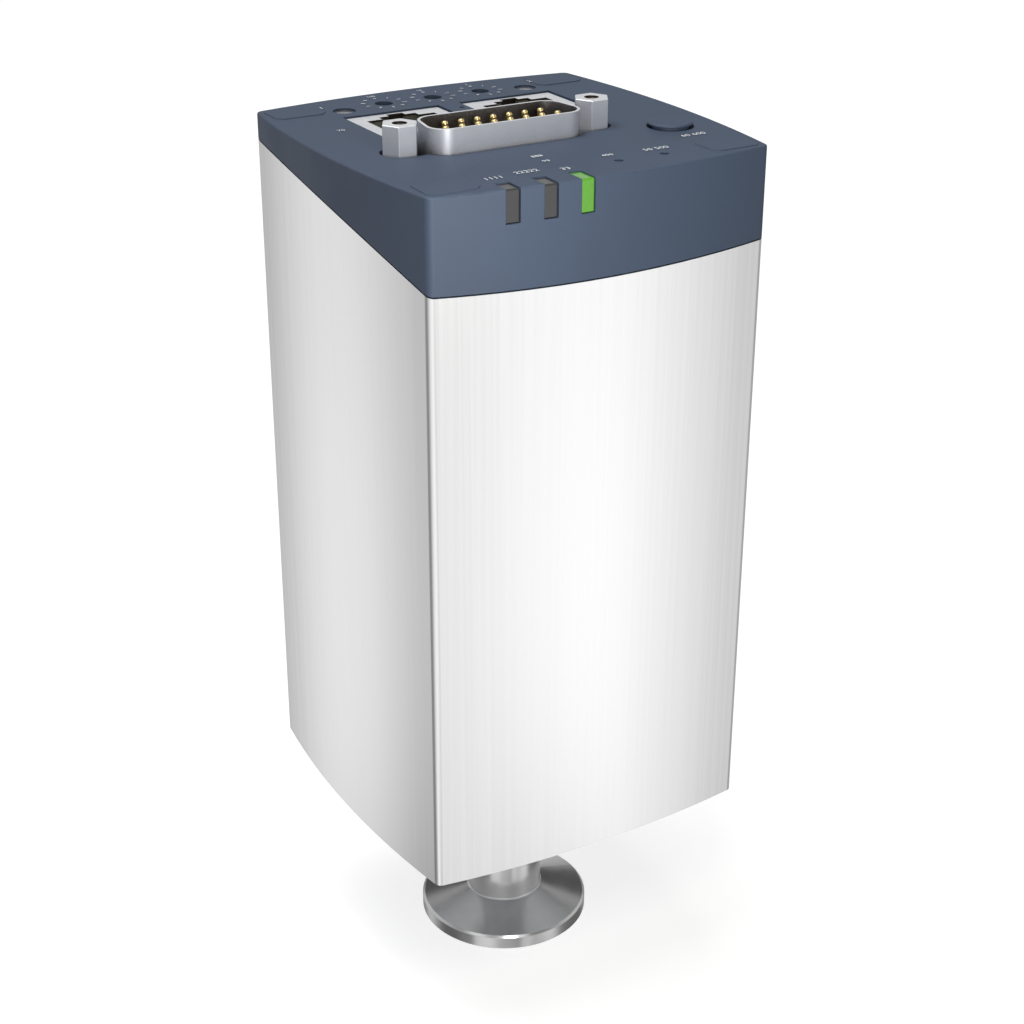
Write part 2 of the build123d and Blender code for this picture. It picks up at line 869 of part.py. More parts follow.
def jack_insert(x):
    """Moulded body of a network jack with the plug's stepped cavity."""
    y = jack_back_y - jack_depth / 2
    play = 2 * (shield_wall + insert_fit)
    height = jack_height - shield_wall - insert_fit
    body = block(x, y, connector_board_top, jack_width - play, jack_depth - play, height)
    floor_z = cap_top_z - jack_recess - plug_depth
    wide = prism(Pos(x, 0) * socket_plan(socket_wall_fit), floor_z, plug_depth)
    return body - wide


def jack_contacts():
    """Spring wires of both network jacks, leaning out from the front wall."""
    plug_front = jack_back_y - socket_margin - notch_height - latch_height - plug_height
    y = plug_front + wire_foot
    z = cap_top_z - jack_recess - plug_depth
    spine = [(y, z), (y + wire_reach, z + wire_rise), (y + wire_reach * 0.4, z + wire_rise * 1.35)]
    far_side = [(a + wire_thickness, b) for a, b in reversed(spine)]
    outline = Plane.YZ * make_face(Polyline(*spine, *far_side, close=True))
    wire = extrude(outline, wire_width / 2, both=True)
    wires = Part()
    for x in jack_x:
        for step in range(wire_count):
            wires += Pos(x + (step - (wire_count - 1) / 2) * wire_pitch, 0, 0) * wire
    return wires


def address_switch_bodies():
    """Square bodies of the three rotary switches, each bored for its rotor."""
    bodies = Part()
    for x in switch_x:
        body = block(x, switch_y, panel_board_top, switch_side, switch_side, switch_height)
        bore_z = panel_board_top + rotor_seat
        bodies += body - rod(x, switch_y, bore_z, rotor_radius + rotor_fit, switch_height)
    return bodies


def address_rotor(x):
    """Rotor with a stem into the cap's hole and a driver slot that ends in an arrow."""
    bottom_z = panel_board_top + rotor_seat + rotor_rest
    drum_top = panel_board_top + switch_height
    top_z = cap_top_z - rotor_drop
    rotor = rod(x, switch_y, bottom_z, rotor_radius, drum_top - bottom_z)
    rotor += rod(x, switch_y, drum_top, rotor_stem_radius, top_z - drum_top)
    slot_z = top_z - rotor_slot_depth
    slot_length = 2 * rotor_stem_radius - rotor_slot_width
    rotor -= block(x, switch_y, slot_z, rotor_slot_width, slot_length, rotor_slot_depth)
    arrow = Triangle(a=2 * rotor_slot_width, b=2 * rotor_slot_width, c=2 * rotor_slot_width)
    arrow_y = switch_y + rotor_stem_radius - 1.6 * rotor_slot_width
    return rotor - prism(Pos(x, arrow_y) * arrow, slot_z, rotor_slot_depth)


def light_pipe(x):
    """Clear bar that fills its slot over the top front edge, with a foot over the light."""
    width = pipe_slot_width - 2 * pipe_fit
    back_y = pipe_slot_back - pipe_fit
    head_z = cap_top_z - pipe_slot_drop + pipe_fit
    top_z = cap_top_z - pipe_top_recess
    head = block(x, (front_y + back_y) / 2, head_z, width, back_y - front_y, top_z - head_z)
    head &= prism(body_plan(pipe_front_recess), head_z, top_z - head_z)
    edge = head.faces().sort_by(Axis.Z)[-1].edges().sort_by(Axis.Y)[0]
    head = fillet(edge, pipe_edge_radius)
    foot_z = panel_board_top + led_height + led_gap
    foot_y = (front_y + pipe_foot_back) / 2
    foot_length = pipe_foot_back - front_y
    foot = block(x, foot_y, foot_z, pipe_foot_width, foot_length, pipe_foot_height)
    foot &= prism(body_plan(cap_wall + pipe_foot_fit), foot_z, pipe_foot_height)
    return head + foot


def link_windows():
    """Round light pipes beside the address switches."""
    windows = Part()
    low_z = panel_board_top + led_height + led_gap
    flange_z = cap_under_z - window_fit - window_flange_thickness
    radius = window_radius - window_fit
    for x in window_x:
        stem = rod(x, window_y, low_z, radius, cap_top_z - window_drop - low_z)
        windows += stem + rod(x, window_y, flange_z, radius + window_flange, window_flange_thickness)
    return windows


def board_leds():
    """Lamps under the light pipes and windows."""
    lamps = Part()
    pipe_y = (pipe_slot_back + pipe_foot_back) / 2
    for x in status_x:
        lamps += block(x, pipe_y, panel_board_top, led_length, led_width, led_height)
    for x in window_x:
        lamps += block(x, window_y, panel_board_top, led_length, led_width, led_height)
    return lamps


def button_bodies():
    """Square bodies of the two push buttons."""
    bodies = Part()
    for x, y in button_points:
        body = block(x, y, panel_board_top, button_side, button_side, button_height)
        bore_z = panel_board_top + button_floor
        bodies += body - rod(x, y, bore_z, plunger_radius + plunger_fit, button_height)
    return bodies


def button_plunger(x, y):
    """Plunger that travels down into its button body."""
    bottom_z = panel_board_top + button_floor + plunger_travel + plunger_fit
    top_z = panel_board_top + button_height + plunger_rise
    plunger = rod(x, y, bottom_z, plunger_radius, top_z - bottom_z)
    return chamfer(plunger.faces().sort_by(Axis.Z)[-1].edges(), plunger_radius / 5)


def service_jack():
    """Round-bored service jack that stands on the connector board."""
    top_z = cap_under_z - service_top_gap
    height = top_z - connector_board_top
    body = block(service_x, service_y, connector_board_top, service_side, service_side, height)
    return body - rod(service_x, service_y, top_z - service_bore_depth, service_bore, service_bore_depth)


def service_plug():
    """Mushroom plug that closes the service jack."""
    neck_z = cap_under_z - service_top_gap + plug_head_lift
    head_z = cap_top_z + plug_head_lift
    head = rod(service_x, service_y, head_z, plug_head_radius, plug_head_thickness)
    head = fillet(head.faces().sort_by(Axis.Z)[-1].edges(), plug_head_thickness * 0.7)
    neck = rod(service_x, service_y, neck_z, plug_neck_radius, head_z - neck_z)
    stem_radius = service_bore - plug_stem_fit
    return head + neck + rod(service_x, service_y, neck_z - plug_stem_length, stem_radius, plug_stem_length)


def all_nodes():
    """Every piece by its node name."""
    nodes = {
        "vacuum_port": vacuum_port(),
        "port_baffle": port_baffle(),
        "port_screws": port_screws(),
        "base_plate": base_plate(),
        "housing_sleeve": housing_sleeve(),
        "top_cap": top_cap(),
        "cap_inserts": cap_inserts(),
        "tie_screws": tie_screws(),
        "spacers_lower": spacer_set(plate_top_z, power_board_top - board_thickness),
        "spacers_middle": spacer_set(power_board_top, main_board_top - board_thickness),
        "spacers_upper": spacer_set(main_board_top, connector_board_top - board_thickness),
        "spacers_top": spacer_set(connector_board_top, panel_board_top - board_thickness),
        "insulation_base": insulation_base(),
        "insulation_ring": insulation_ring(),
        "insulation_lid": insulation_lid(),
        "heater_base": heater_base(),
        "heater_can": heater_can(),
        "heater_foil": heater_foil(),
        "sensor_base": sensor_base(),
        "ceramic_housing": ceramic_housing(),
        "ceramic_diaphragm": ceramic_diaphragm(),
        "glass_seals": glass_seals(),
        "ceramic_backplate": ceramic_backplate(),
        "getter_capsule": getter(),
        "sensor_cage": sensor_cage(),
        "sensor_contacts": sensor_contacts(),
        "sensor_board": sensor_board(),
        "sensor_flex": sensor_flex(),
        "power_board": board(power_board_top),
        "power_parts": power_parts(),
        "main_board": board(main_board_top),
        "main_parts": main_parts(),
        "connector_board": connector_board(),
        "panel_board": panel_board(),
        "board_headers": board_headers(),
        "d_sub_front_shell": d_sub_front_shell(),
        "d_sub_rear_shell": d_sub_rear_shell(),
        "d_sub_insulator": d_sub_insulator(),
        "d_sub_pins": d_sub_pins(),
        "d_sub_spacers": d_sub_spacers(),
        "jack_screws": jack_screws(),
        "jack_contacts": jack_contacts(),
        "address_switch_bodies": address_switch_bodies(),
        "link_windows": link_windows(),
        "board_leds": board_leds(),
        "button_bodies": button_bodies(),
        "service_jack": service_jack(),
        "service_plug": service_plug(),
    }
    for side, x in zip(("left", "right"), jack_x):
        nodes[f"jack_shield_{side}"] = jack_shield(x)
        nodes[f"jack_insert_{side}"] = jack_insert(x)
    for number, x in enumerate(switch_x, start=1):
        nodes[f"address_rotor_{number}"] = address_rotor(x)
    for number, x in enumerate(status_x, start=1):
        nodes[f"light_pipe_{number}"] = light_pipe(x)
    for number, (x, y) in enumerate(button_points, start=1):
        nodes[f"button_plunger_{number}"] = button_plunger(x, y)
    return nodes


os.makedirs("parts", exist_ok=True)
for node_name, shape in all_nodes().items():
    export_step(shape, f"parts/{node_name}.step")
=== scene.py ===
import json
import math
import bmesh
import bpy
from mathutils import Matrix, Vector


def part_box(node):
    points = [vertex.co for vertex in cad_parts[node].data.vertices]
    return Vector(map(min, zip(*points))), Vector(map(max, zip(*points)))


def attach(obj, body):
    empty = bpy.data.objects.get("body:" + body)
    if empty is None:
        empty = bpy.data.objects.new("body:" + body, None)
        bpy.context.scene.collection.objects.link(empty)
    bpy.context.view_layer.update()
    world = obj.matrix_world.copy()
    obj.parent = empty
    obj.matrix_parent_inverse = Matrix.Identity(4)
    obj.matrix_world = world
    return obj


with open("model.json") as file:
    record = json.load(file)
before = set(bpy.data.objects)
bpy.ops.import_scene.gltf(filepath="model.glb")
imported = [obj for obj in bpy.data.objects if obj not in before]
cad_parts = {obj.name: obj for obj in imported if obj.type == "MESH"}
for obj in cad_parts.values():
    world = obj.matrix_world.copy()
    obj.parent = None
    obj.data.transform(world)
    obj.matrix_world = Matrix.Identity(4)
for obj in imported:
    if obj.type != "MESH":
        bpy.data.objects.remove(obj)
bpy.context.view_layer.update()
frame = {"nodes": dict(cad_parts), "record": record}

# Units: metres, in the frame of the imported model
mm = 0.001

# Camera of the photograph
image_side = 1024
focal_pixels = 1959.229
centre_column = 500.155
centre_row = 540.031
camera_place = Vector((-0.15076, -0.25994, 0.21856))
camera_azimuth = -0.5234
camera_elevation = 0.4475
sensor_width = 36.0

# Heights and places read from the frame
cap_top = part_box("top_cap")[1].z
screw_low, screw_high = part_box("jack_screws")

# Studio panels that shiny surfaces see all round: heading in degrees from +X, and brightness there
panel_peak = 2.0
panels = (
    (-180, 0.45), (-170, 0.70), (-160, 0.95), (-142, 1.15), (-125, 1.35), (-110, 1.30), (-97, 1.02),
    (-80, 1.15), (-70, 1.36), (-61, 1.55), (-50, 1.33), (-45, 1.22), (-40, 1.01), (-34, 0.78), (-25, 0.56),
    (0, 0.50), (40, 0.65), (75, 0.50), (92, 0.52), (97, 0.64), (103, 0.88), (110, 1.10), (118, 1.22),
    (126, 1.04), (136, 0.72), (146, 0.42), (156, 0.31), (170, 0.33), (180, 0.45),
)
# The same in steep downward directions, which the port's flange and tube reflect
low_panels = (
    (-180, 0.40), (-169, 0.50), (-160, 1.45), (-148, 1.85), (-132, 1.35), (-118, 0.80), (-104, 0.72),
    (-95, 1.05), (-87, 1.60), (-80, 1.42), (-74, 1.12), (-66, 1.12), (-60, 1.26), (-54, 1.42), (-48, 1.50),
    (-42, 1.25), (-36, 0.80), (-30, 0.50), (-10, 0.28), (12, 0.22), (40, 0.50),
    (75, 0.50), (92, 0.50), (97, 0.60), (103, 0.78), (110, 0.94), (118, 1.00), (126, 0.80), (136, 0.50),
    (146, 0.28), (156, 0.25), (168, 0.30), (180, 0.40),
)
# Shares, by heading, of a dark card behind, a bright box high in front and a light below on the far side
card_span = ((-180, 0.0), (8, 0.0), (25, 1.0), (92, 1.0), (108, 0.0), (180, 0.0))
box_span = ((-180, 0.6), (-165, 1.0), (-90, 1.0), (-70, 0.0), (160, 0.0), (180, 0.6))
under_span = ((-180, 0.0), (-40, 0.0), (-10, 1.0), (130, 1.0), (160, 0.0), (180, 0.0))

# Heights between which one part of the studio fades into the next, as the upward part of a unit direction
steepest_fade = (-0.960, -0.935)
low_wall_fade = (-0.85, -0.70)
deep_fade = (-0.82, -0.70)
wall_foot_fade = (-0.62, -0.50)
rim_fade = (-0.605, -0.585)
steep_fade = (-0.600, -0.535)
wall_head_fade = (-0.44, -0.27)
horizon_fade = (0.02, 0.16)
card_foot_fade = (0.25, 0.31)
sky_fade = (0.45, 0.75)
card_head_fade = (0.54, 0.61)
box_foot_fade = (0.66, 0.73)
box_head_fade = (0.86, 0.93)

# Brightness of the studio's parts
card_depth = 0.86
box_light = 1.1
under_light = 1.6
low_wall = 0.6
rim_wall = 0.80
wall_foot = 0.86
wall_head = 0.91
sky_rim = 0.95
sky_top = 0.40
world_fill = 0.24
world_white = 1.25

# Floor: its own grey, and the light that lifts it to white for the camera from a near to a far distance;
# the smaller lift near the object is painted shade around it
floor_colour = (0.5, 0.5, 0.5, 1.0)
floor_lift_near_painted_shade = 0.74
floor_lift_far = 0.84
floor_lift_start = 0.15
floor_lift_end = 0.70
floor_reach = 3.0

# Printed marks on the cap: sizes of the numerals, and each mark's text, place in millimetres and size
print_lift = 0.004 * mm
print_depth = 0.012 * mm
large, small, tiny = 1.6 * mm, 1.3 * mm, 1.05 * mm
marks = (
    ("1111", -16.2, -24.9, large), ("22222", -10.4, -24.2, large), ("33", -4.7, -25.6, large),
    ("888", -4.7, -17.6, small), ("99", -4.9, -20.6, small),
    ("400", 4.6, -22.2, small), ("50 500", 12.9, -22.6, large), ("60 600", 22.6, -18.4, large),
    ("70", -22.8, 10.6, small), ("1", -19.2, 25.4, large), ("2", 19.6, 25.4, large),
)

# Dials round the address switches: middle of each and its place value, in millimetres
dials = ((-8.75, 100), (0.2, 10), (9.15, 1))
dial_digits = 10
dial_radius = 3.35
dial_y = 23.8
place_value_y = 28.6

# Threads in the jack screws, with the start below the mouth and the half width as shares of the pitch
screw_spacing = 33.32 * mm
thread_radius = 1.15 * mm
thread_pitch = 0.635 * mm
thread_depth = 0.16 * mm
thread_sink = 0.02 * mm
thread_start = 0.9
thread_half_width = 0.49
thread_length = 4.6 * mm
thread_turn_steps = 24


def hex_colour(text):
    """Linear colour of a written sRGB colour such as 5C677A."""
    parts = [int(text[i:i + 2], 16) / 255 for i in (0, 2, 4)]
    return [p / 12.92 if p <= 0.04045 else ((p + 0.055) / 1.055) ** 2.4 for p in parts] + [1.0]


def darker(colour, share):
    """A colour dimmed to a share of itself."""
    return [part * share for part in colour[:3]] + [1.0]


class Shader:
    """One node material with its surface shader, and short calls for the nodes that feed it."""

    def __init__(self, name, colour, metallic=0.0, roughness=0.5):
        self.material = bpy.data.materials.new(name)
        self.material.use_nodes = True
        self.nodes = self.material.node_tree.nodes
        self.links = self.material.node_tree.links
        self.surface = self.nodes["Principled BSDF"]
        self.set("Base Color", colour)
        self.set("Metallic", metallic)
        self.set("Roughness", roughness)

    def set(self, socket, value):
        self.surface.inputs[socket].default_value = value

    def node(self, kind, **settings):
        made = self.nodes.new(kind)
        for key, value in settings.items():
            setattr(made, key, value)
        return made

    def link(self, source, target):
        self.links.new(source, target)

    def place(self, scale):
        """The object's own coordinates, stretched by scale along each axis."""
        coordinates = self.node("ShaderNodeTexCoord")
        mapping = self.node("ShaderNodeMapping")
        mapping.inputs["Scale"].default_value = scale
        self.link(coordinates.outputs["Object"], mapping.inputs["Vector"])
        return mapping.outputs["Vector"]

    def noise(self, scale, stretch=(1, 1, 1), detail=3.0, roughness=0.5):
        """Noise with about scale cells per metre."""
        made = self.node("ShaderNodeTexNoise")
        made.inputs["Scale"].default_value = scale
        made.inputs["Detail"].default_value = detail
        made.inputs["Roughness"].default_value = roughness
        self.link(self.place(stretch), made.inputs["Vector"])
        return made.outputs["Fac"]

    def spread(self, value, low, high, start=0.3, end=0.7):
        """Maps value from start to end onto low to high."""
        made = self.node("ShaderNodeMapRange")
        made.inputs["From Min"].default_value = start
        made.inputs["From Max"].default_value = end
        made.inputs["To Min"].default_value = low
        made.inputs["To Max"].default_value = high
        self.link(value, made.inputs["Value"])
        return made.outputs["Result"]

    def mix(self, share, low, high):
        """Colour from low to high as share goes from 0 to 1; high may be the colour of another node."""
        made = self.node("ShaderNodeMix", data_type="RGBA")
        made.inputs["A"].default_value = low
        if isinstance(high, bpy.types.NodeSocket):
            self.link(high, made.inputs["B"])
        else:
            made.inputs["B"].default_value = high
        self.link(share, made.inputs["Factor"])
        return made.outputs["Result"]

    def tint(self, share, low, high):
        self.link(self.mix(share, low, high), self.surface.inputs["Base Color"])

    def rough(self, value, low, high):
        self.link(self.spread(value, low, high), self.surface.inputs["Roughness"])

    def bump(self, value, height, strength=1.0, soft_edge=0.0):
        """Relief of the given height in metres, with edges rounded to soft_edge where one is given."""
        made = self.node("ShaderNodeBump")
        made.inputs["Strength"].default_value = strength
        made.inputs["Distance"].default_value = height
        self.link(value, made.inputs["Height"])
        if soft_edge:
            self.link(self.bevel(soft_edge), made.inputs["Normal"])
        self.link(made.outputs["Normal"], self.surface.inputs["Normal"])

    def bevel(self, radius):
        made = self.node("ShaderNodeBevel", samples=6)
        made.inputs["Radius"].default_value = radius
        return made.outputs["Normal"]

    def soften(self, radius):
        """Rounds the look of sharp edges."""
        self.link(self.bevel(radius), self.surface.inputs["Normal"])

    def grain_direction(self, stretch, turn):
        """Stretches highlights about the upright axis, turned by a share of a full turn."""
        tangent = self.node("ShaderNodeTangent", direction_type="RADIAL", axis="Z")
        self.link(tangent.outputs["Tangent"], self.surface.inputs["Tangent"])
        self.set("Anisotropic", stretch)
        self.set("Anisotropic Rotation", turn)


def brushed_sleeve():
    """Steel brushed upright: long fine streaks over broad soft bands."""
    band_share = 0.5
    s = Shader("brushed_sleeve", hex_colour("F2F2F2"), metallic=1.0, roughness=0.27)
    streaks = s.noise(1500, stretch=(1, 1, 0.008))
    bands = s.noise(60, stretch=(1, 1, 0.06), detail=2.0)
    both = s.node("ShaderNodeMath", operation="MULTIPLY_ADD")
    s.link(bands, both.inputs[0])
    both.inputs[1].default_value = band_share
    s.link(s.spread(streaks, 0.1, 0.4), both.inputs[2])
    s.tint(s.spread(both.outputs["Value"], 0.0, 1.0), hex_colour("EEEEEE"), hex_colour("F5F5F5"))
    s.rough(streaks, 0.21, 0.25)
    s.bump(streaks, height=0.0015 * mm, strength=0.2)
    s.grain_direction(stretch=0.3, turn=0.0)
    return s.material


def turned_steel():
    """Stainless steel turned on a lathe: fine rings about the upright axis."""
    s = Shader("turned_steel", hex_colour("C4C4C4"), metallic=1.0, roughness=0.18)
    rings = s.node("ShaderNodeTexWave", wave_type="RINGS", rings_direction="Z")
    rings.inputs["Scale"].default_value = 1400
    rings.inputs["Distortion"].default_value = 1.2
    rings.inputs["Detail"].default_value = 2.0
    s.link(s.place((1, 1, 1)), rings.inputs["Vector"])
    patches = s.noise(160)
    s.tint(s.spread(patches, 0.0, 1.0), hex_colour("BEBEBE"), hex_colour("CCCCCC"))
    s.rough(patches, 0.14, 0.20)
    s.bump(rings.outputs["Fac"], height=0.0015 * mm, strength=0.4, soft_edge=0.12 * mm)
    s.grain_direction(stretch=0.3, turn=0.25)
    return s.material


def plain_metal(name, colour, roughness, edge=0.1 * mm, metallic=1.0):
    """Plated or drawn metal with faint clouding and fine pits; metallic is below 1 where it is dull."""
    s = Shader(name, colour, metallic, roughness)
    clouds = s.noise(500, detail=4.0)
    fine = s.noise(6000, detail=2.0)
    s.tint(s.spread(clouds, 0.0, 1.0), darker(colour, 0.9), colour)
    s.rough(clouds, roughness * 0.8, roughness * 1.2)
    s.bump(fine, height=0.002 * mm, strength=0.3, soft_edge=edge)
    return s.material


def dull_plating(name, painted_highlight_top_colour, side_colour, painted_shade_hollow_colour):
    """Dull bright plating with painted light: a painted highlight makes faces turned up lightest, and
    painted shade darkens the hollows, standing also for a painted reflection of what they hold.
    """
    s = Shader(name, side_colour, metallic=0.55, roughness=0.42)
    facing = s.node("ShaderNodeNewGeometry")
    axes = s.node("ShaderNodeSeparateXYZ")
    s.link(facing.outputs["Normal"], axes.inputs[0])
    # Painted highlight: faces turned up get a lighter colour than the sides
    painted_highlight_share = s.spread(axes.outputs["Z"], 0.0, 1.0, start=0.2, end=0.9)
    # Painted shade: hollows darken towards dark brown, which also stands for a painted reflection of what
    # they hold
    painted_shade_probe = s.node("ShaderNodeAmbientOcclusion", samples=8, only_local=True)
    painted_shade_probe.inputs["Distance"].default_value = 16 * mm
    outside_painted_shade = s.spread(painted_shade_probe.outputs["AO"], 0.0, 1.0, start=0.70, end=0.86)
    s.tint(outside_painted_shade, painted_shade_hollow_colour, s.mix(painted_highlight_share, side_colour, painted_highlight_top_colour))
    s.rough(s.noise(500, detail=4.0), 0.38, 0.46)
    s.bump(s.noise(6000, detail=2.0), height=0.002 * mm, strength=0.3, soft_edge=0.12 * mm)
    return s.material


def moulded_plastic(name, colour, roughness, depth=0.012 * mm, edge=0.15 * mm):
    """Moulded plastic with a fine spark-eroded grain and slight clouding."""
    s = Shader(name, colour, roughness=roughness)
    fine = s.noise(5200, detail=2.0, roughness=0.6)
    clouds = s.noise(90)
    s.tint(s.spread(clouds, 0.0, 1.0), darker(colour, 0.93), colour)
    s.rough(clouds, roughness * 0.93, roughness * 1.07)
    s.bump(fine, height=depth, strength=0.5, soft_edge=edge)
    return s.material


def clear_plastic(name, colour, roughness, glow=0.0, glow_colour=None):
    """Milky clear plastic; glow is for a lamp that shines through."""
    s = Shader(name, colour, roughness=roughness)
    clouds = s.noise(900, detail=2.0)
    s.tint(s.spread(clouds, 0.0, 1.0), darker(colour, 0.85), colour)
    s.set("Coat Weight", 0.6)
    s.set("Coat Roughness", 0.12)
    if glow:
        s.set("Emission Color", glow_colour)
        s.set("Emission Strength", glow)
    s.soften(0.12 * mm)
    return s.material


def circuit_board():
    """Green lacquer over a faint pattern of copper tracks."""
    s = Shader("board", hex_colour("12552F"), roughness=0.32)
    tracks = s.node("ShaderNodeTexVoronoi", feature="F1", distance="MANHATTAN")
    tracks.inputs["Scale"].default_value = 420
    s.link(s.place((1, 1, 1)), tracks.inputs["Vector"])
    s.tint(s.spread(tracks.outputs["Distance"], 0.0, 1.0), hex_colour("0E4526"), hex_colour("1E6E3E"))
    s.bump(tracks.outputs["Distance"], height=0.02 * mm, strength=0.4)
    s.set("Coat Weight", 0.4)
    return s.material


def foam():
    """Stiff white foam with small cells."""
    s = Shader("foam", hex_colour("E2E1DC"), roughness=0.9)
    cells = s.node("ShaderNodeTexVoronoi", feature="F1")
    cells.inputs["Scale"].default_value = 1500
    s.link(s.place((1, 1, 1)), cells.inputs["Vector"])
    s.tint(cells.outputs["Distance"], hex_colour("E8E7E2"), hex_colour("C9C8C2"))
    s.bump(cells.outputs["Distance"], height=0.15 * mm, strength=0.7)
    return s.material


def sintered(name, colour, roughness):
    """Fired ceramic or fused glass with a fine speckle."""
    s = Shader(name, colour, roughness=roughness)
    speckle = s.noise(3500, detail=4.0)
    s.tint(s.spread(speckle, 0.0, 1.0), darker(colour, 0.9), colour)
    s.bump(speckle, height=0.006 * mm, strength=0.4)
    return s.material


def film():
    """Amber polyimide film with etched tracks showing through."""
    s = Shader("amber_film", hex_colour("B4762A"), roughness=0.3)
    tracks = s.node("ShaderNodeTexWave", wave_type="BANDS", bands_direction="Z")
    tracks.inputs["Scale"].default_value = 260
    s.link(s.place((1, 1, 1)), tracks.inputs["Vector"])
    etched = s.spread(tracks.outputs["Fac"], 0.0, 1.0, start=0.45, end=0.55)
    s.tint(etched, hex_colour("96591C"), hex_colour("C08436"))
    s.set("Coat Weight", 0.6)
    return s.material


def make_materials():
    """Every finish by the name of its slot."""
    return {
        "turned_steel": turned_steel(),
        "screw_steel": plain_metal("screw_steel", hex_colour("C8C8C8"), 0.3),
        "brushed_sleeve": brushed_sleeve(),
        "plate_aluminium": plain_metal("plate_aluminium", hex_colour("D6D8DA"), 0.38),
        "blue_plastic": moulded_plastic("blue_plastic", hex_colour("3D4B60"), 0.60),
        "brass": plain_metal("brass", hex_colour("D9BC72"), 0.3),
        "gold": plain_metal("gold", hex_colour("EED597"), 0.24, 0.05 * mm, metallic=0.8),
        # nickel: painted highlight on faces turned up, and painted shade in hollows
        "nickel": dull_plating("nickel", hex_colour("F2F4F8"), hex_colour("BEC2CA"), hex_colour("3A3029")),
        # thread: a dark colour that paints the shade inside the jack screw holes
        "thread": plain_metal("thread", hex_colour("6A645C"), 0.45, 0.02 * mm, metallic=0.7),
        "black_plastic": moulded_plastic("black_plastic", hex_colour("1E1E20"), 0.45, edge=0.08 * mm),
        "grey_plastic": moulded_plastic("grey_plastic", hex_colour("8C8C80"), 0.4, edge=0.08 * mm),
        "board": circuit_board(),
        "ceramic": sintered("ceramic", hex_colour("EFECE2"), 0.5),
        "glass": sintered("glass", hex_colour("C8D2CC"), 0.12),
        "amber_film": film(),
        "foam": foam(),
        "smoked_pipe": clear_plastic("smoked_pipe", hex_colour("2E2E30"), 0.3),
        "lit_pipe": clear_plastic("lit_pipe", hex_colour("427A10"), 0.25, 0.20, hex_colour("7CE828")),
        "pale_window": clear_plastic("pale_window", hex_colour("5C5E64"), 0.25),
        "insulator": moulded_plastic("insulator", hex_colour("3B332D"), 0.35, edge=0.06 * mm),
        "white_ink": moulded_plastic("white_ink", hex_colour("E8EAEE"), 0.55, depth=0.002 * mm, edge=0.0),
    }


def dress_frame(materials):
    """Gives each node of the frame the finish of its slot."""
    slots = {part["node"]: part["material_slot"] for part in frame["record"]["subparts"]}
    for name, node in frame["nodes"].items():
        node.data.materials.clear()
        node.data.materials.append(materials[slots[name]])


def new_piece(name, mesh, material, body="housing"):
    """Adds a mesh as a piece that rides on a body and belongs to a slot."""
    mesh.materials.append(material)
    piece = bpy.data.objects.new(name, mesh)
    bpy.context.scene.collection.objects.link(piece)
    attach(piece, body)


def letter_mesh(text, size):
    """The closed mesh of plain numerals, centred on its own origin."""
    curve = bpy.data.curves.new("mark", "FONT")
    curve.body = text
    curve.size = size
    curve.extrude = print_depth / 2
    curve.resolution_u = 2
    curve.align_x = "CENTER"
    curve.align_y = "CENTER"
    holder = bpy.data.objects.new("mark", curve)
    bpy.context.scene.collection.objects.link(holder)
    bpy.context.view_layer.update()
    mesh = bpy.data.meshes.new_from_object(holder.evaluated_get(bpy.context.evaluated_depsgraph_get()))
    bpy.data.objects.remove(holder)
    return mesh


def add_mark(work, text, size, x, y, turn=0.0):
    """Adds one printed mark to work, at x, y in millimetres on the cap's top."""
    mesh = letter_mesh(text, size)
    place = Matrix.Translation((x * mm, y * mm, cap_top + print_lift + print_depth / 2))
    mesh.transform(place @ Matrix.Rotation(turn, 4, "Z"))
    work.from_mesh(mesh)
    bpy.data.meshes.remove(mesh)


def print_marks(material):
    """Plain numerals beside the lights, buttons, windows and plug, and round the address switches."""
    work = bmesh.new()
    for text, x, y, size in marks:
        add_mark(work, text, size, x, y)
    for middle_x, place_value in dials:
        for digit in range(dial_digits):
            turn = math.tau * digit / dial_digits
            x, y = middle_x + dial_radius * math.sin(turn), dial_y + dial_radius * math.cos(turn)
            add_mark(work, str(digit), tiny, x, y, -turn)
        add_mark(work, str(place_value), tiny, middle_x, place_value_y)
    mesh = bpy.data.meshes.new("cap_print")
    work.to_mesh(mesh)
    work.free()
    new_piece("cap_print", mesh, material)


def thread_mesh(x, y, top):
    """A closed helical ridge inside a hole whose mouth is at top."""
    steps = round(thread_length / thread_pitch * thread_turn_steps)
    root = thread_radius - thread_sink
    ridge = thread_radius - thread_depth
    half = Vector((0, 0, thread_pitch * thread_half_width))
    work = bmesh.new()
    rings = []
    for step in range(steps + 1):
        angle = math.tau * step / thread_turn_steps
        height = top - thread_pitch * (step / thread_turn_steps + thread_start)
        side = Vector((math.cos(angle), math.sin(angle), 0))
        centre = Vector((x, y, height))
        corners = (centre + side * root + half, centre + side * ridge, centre + side * root - half)
        rings.append([work.verts.new(corner) for corner in corners])
    for one, two in zip(rings, rings[1:]):
        for i in range(len(one)):
            j = (i + 1) % len(one)
            work.faces.new((one[i], one[j], two[j], two[i]))
    work.faces.new(rings[0])
    work.faces.new(reversed(rings[-1]))
    bmesh.ops.recalc_face_normals(work, faces=work.faces)
    mesh = bpy.data.meshes.new("thread")
    work.to_mesh(mesh)
    work.free()
    return mesh


def cut_threads(material):
    """The fine threads inside the two jack screws, in a dark finish that paints the shade of the holes."""
    middle_y = (screw_low.y + screw_high.y) / 2
    margin = (screw_high.x - screw_low.x - screw_spacing) / 2
    for side, x in (("left", screw_low.x + margin), ("right", screw_high.x - margin)):
        mesh = thread_mesh(x, middle_y, screw_high.z)
        new_piece(f"jack_screw_thread_{side}", mesh, material)


